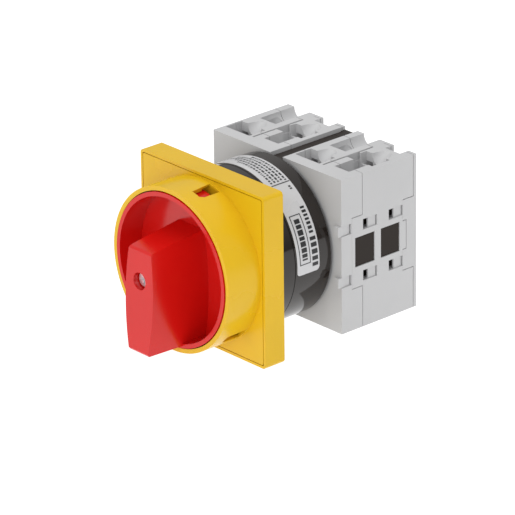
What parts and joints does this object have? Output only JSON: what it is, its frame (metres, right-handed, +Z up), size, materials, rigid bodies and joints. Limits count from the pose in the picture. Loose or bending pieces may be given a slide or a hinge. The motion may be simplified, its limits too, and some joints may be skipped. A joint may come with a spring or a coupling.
{
  "type": "rotary isolator switch",
  "caption": "Panel-mounted rotary isolator switch: square front plate with a padlockable knob collar, round index mechanism and two stacked contact stages with screw terminals.",
  "frame": {"origin": "on the shaft axis at the panel face, which is the back of the front plate", "axes": "+X to the right seen from the front, +Y into the panel along the shaft, +Z up"},
  "size_m": [0.0672, 0.1027, 0.065],
  "materials": {
    "yellow_plastic": "satin",
    "red_plastic": "satin",
    "black_plastic": "gloss",
    "grey_plastic": "fine matt",
    "cam_plastic": "natural",
    "foam_rubber": "matt",
    "label_foil": "printed",
    "zinc_steel": "zinc plated",
    "spring_steel": "bright",
    "contact_copper": "silver tipped"
  },
  "bodies": {
    "switch_body": {"plate_frame": "yellow_plastic", "collar_plate": "yellow_plastic", "panel_gasket": "foam_rubber", "rating_label": "label_foil", "mechanism_flange": "black_plastic", "mechanism_housing": "black_plastic", "stage_frame_1": "black_plastic", "stage_frame_2": "black_plastic", "rear_bearing_plate": "black_plastic", "detent_plungers": "cam_plastic", "detent_rollers": "zinc_steel", "tie_screws": "zinc_steel", "terminal_clamps": "zinc_steel", "terminal_screws": "zinc_steel", "detent_springs": "spring_steel", "left_front_housing": "grey_plastic", "left_rear_housing": "grey_plastic", "left_end_cover": "grey_plastic", "right_front_housing": "grey_plastic", "right_rear_housing": "grey_plastic", "right_end_cover": "grey_plastic", "contact_spring_1": "spring_steel", "fixed_contacts_1": "contact_copper", "contact_spring_2": "spring_steel", "fixed_contacts_2": "contact_copper", "contact_spring_3": "spring_steel", "fixed_contacts_3": "contact_copper", "contact_spring_4": "spring_steel", "fixed_contacts_4": "contact_copper"},
    "rotor": {"handle_knob": "red_plastic", "handle_screw": "zinc_steel", "handle_washer": "zinc_steel", "drive_shaft": "zinc_steel", "stop_disc": "cam_plastic", "detent_wheel": "cam_plastic", "cam_1": "cam_plastic", "cam_2": "cam_plastic"},
    "plunger_1": {"contact_plunger_1": "cam_plastic", "contact_bridge_1": "contact_copper"},
    "plunger_2": {"contact_plunger_2": "cam_plastic", "contact_bridge_2": "contact_copper"},
    "plunger_3": {"contact_plunger_3": "cam_plastic", "contact_bridge_3": "contact_copper"},
    "plunger_4": {"contact_plunger_4": "cam_plastic", "contact_bridge_4": "contact_copper"}
  },
  "joints": [
    {"name": "handle_turn", "type": "hinge", "parent": "switch_body", "child": "rotor", "pos_m": [0, 0, 0], "axis": [0, -1, 0], "range_deg": [0, 90]},
    {"name": "plunger_slide_1", "type": "slide", "parent": "switch_body", "child": "plunger_1", "axis": [-1, 0, 0], "range_m": [0, 0.00301], "deforming": ["contact_spring_1"]},
    {"name": "plunger_slide_2", "type": "slide", "parent": "switch_body", "child": "plunger_2", "axis": [1, 0, 0], "range_m": [0, 0.00301], "deforming": ["contact_spring_2"]},
    {"name": "plunger_slide_3", "type": "slide", "parent": "switch_body", "child": "plunger_3", "axis": [-1, 0, 0], "range_m": [0, 0.00301], "deforming": ["contact_spring_3"]},
    {"name": "plunger_slide_4", "type": "slide", "parent": "switch_body", "child": "plunger_4", "axis": [1, 0, 0], "range_m": [0, 0.00301], "deforming": ["contact_spring_4"]}
  ],
  "couplings": [
    {"joint": "plunger_slide_1", "follows": "handle_turn", "m_per_rad": 0.0019099},
    {"joint": "plunger_slide_2", "follows": "handle_turn", "m_per_rad": 0.0019099},
    {"joint": "plunger_slide_3", "follows": "handle_turn", "m_per_rad": 0.0019099},
    {"joint": "plunger_slide_4", "follows": "handle_turn", "m_per_rad": 0.0019099}
  ]
}
